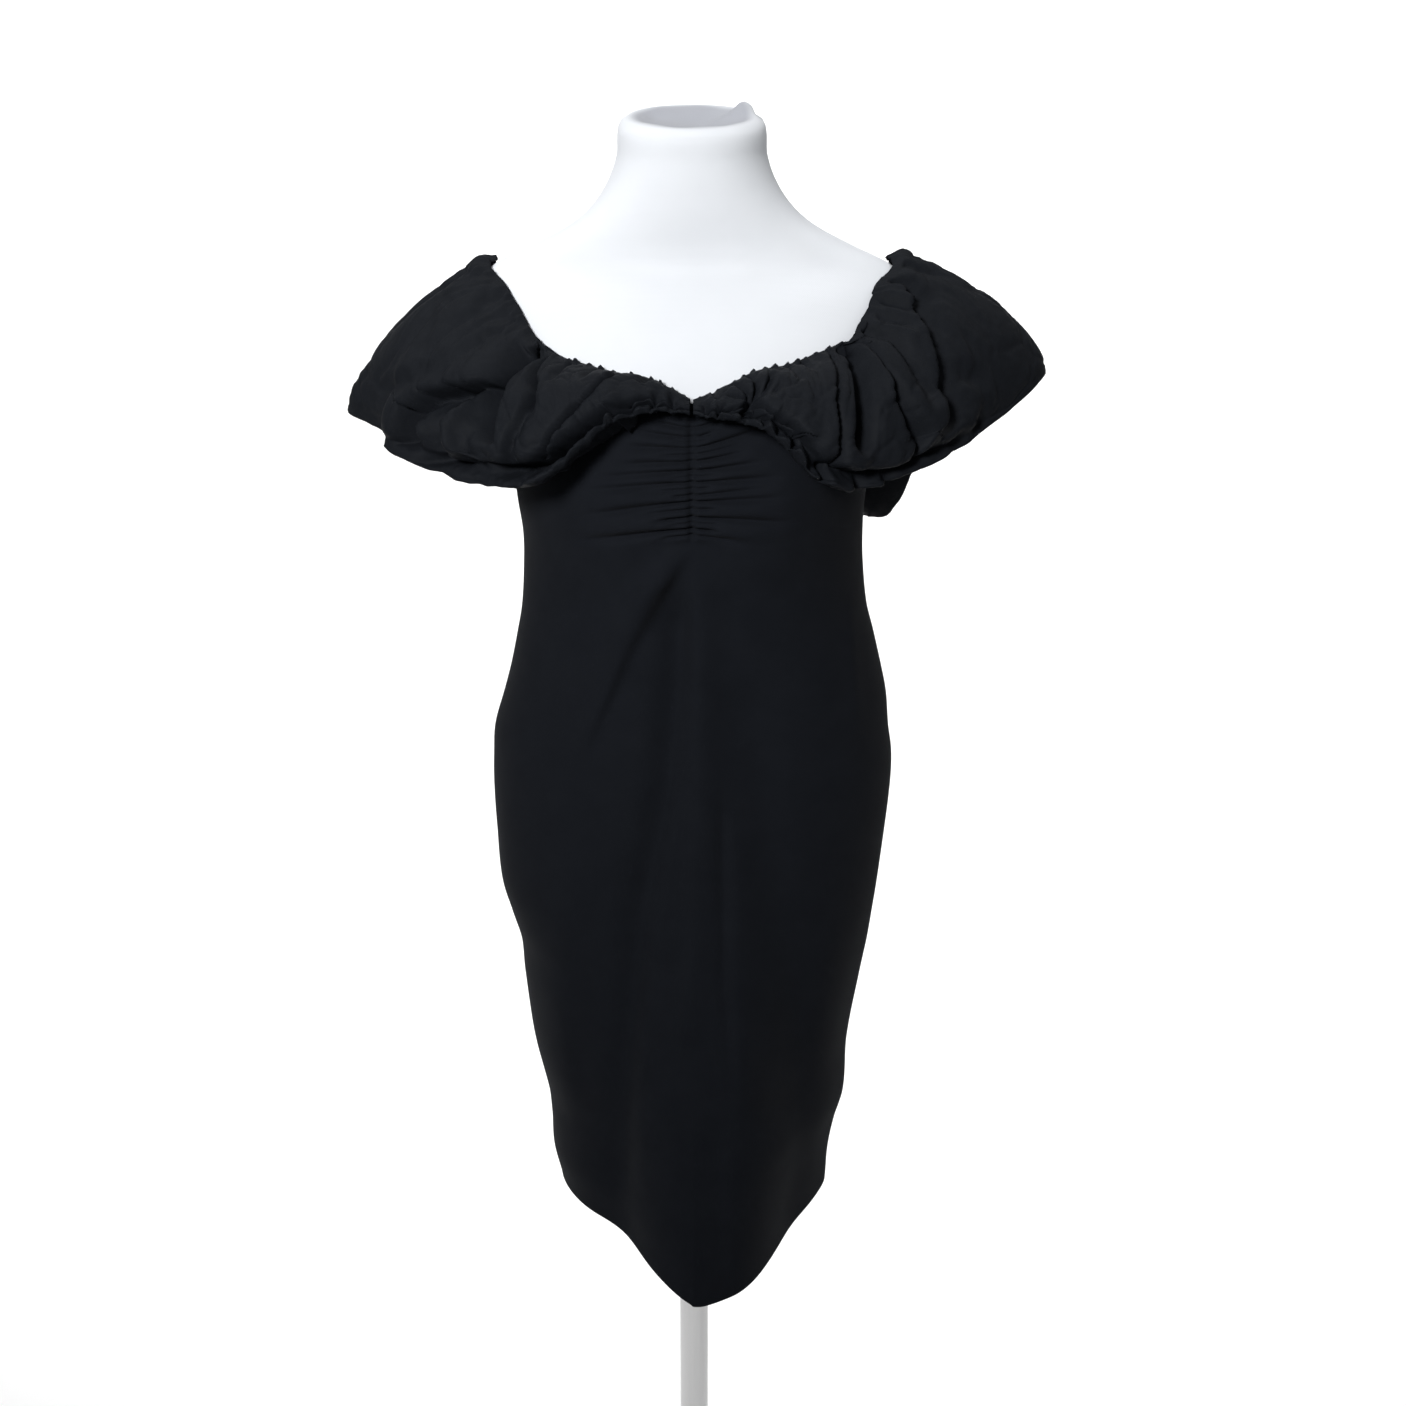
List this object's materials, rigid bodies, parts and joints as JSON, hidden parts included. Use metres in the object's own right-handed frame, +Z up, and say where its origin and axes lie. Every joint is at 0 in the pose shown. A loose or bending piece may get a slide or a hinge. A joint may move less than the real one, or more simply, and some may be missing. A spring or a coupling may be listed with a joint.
{
  "type": "party dress on dress form",
  "caption": "Black fitted off-the-shoulder party dress with a ruched bodice and a puffed ruffle, worn by a white limbless dress form on a round stand.",
  "frame": {"origin": "on the floor, in the middle of the underside of the form's round base, under the pole's axis", "axes": "+Z up along the pole; the front of the dress faces -Y; +X is to the right of someone who looks at the front"},
  "size_m": [0.6028, 0.36, 1.4731],
  "materials": {
    "jersey": "black stretch jersey, soft low sheen",
    "woven": "black crisp woven cloth, matte",
    "form_cover": "white stretched jersey cover, matte",
    "stand": "white satin paint"
  },
  "bodies": {
    "root": {"dress_front": "jersey", "dress_back": "jersey", "ruffle_left": "woven", "ruffle_right": "woven", "form_torso": "form_cover", "form_pole": "stand", "form_base": "stand"}
  },
  "joints": []
}
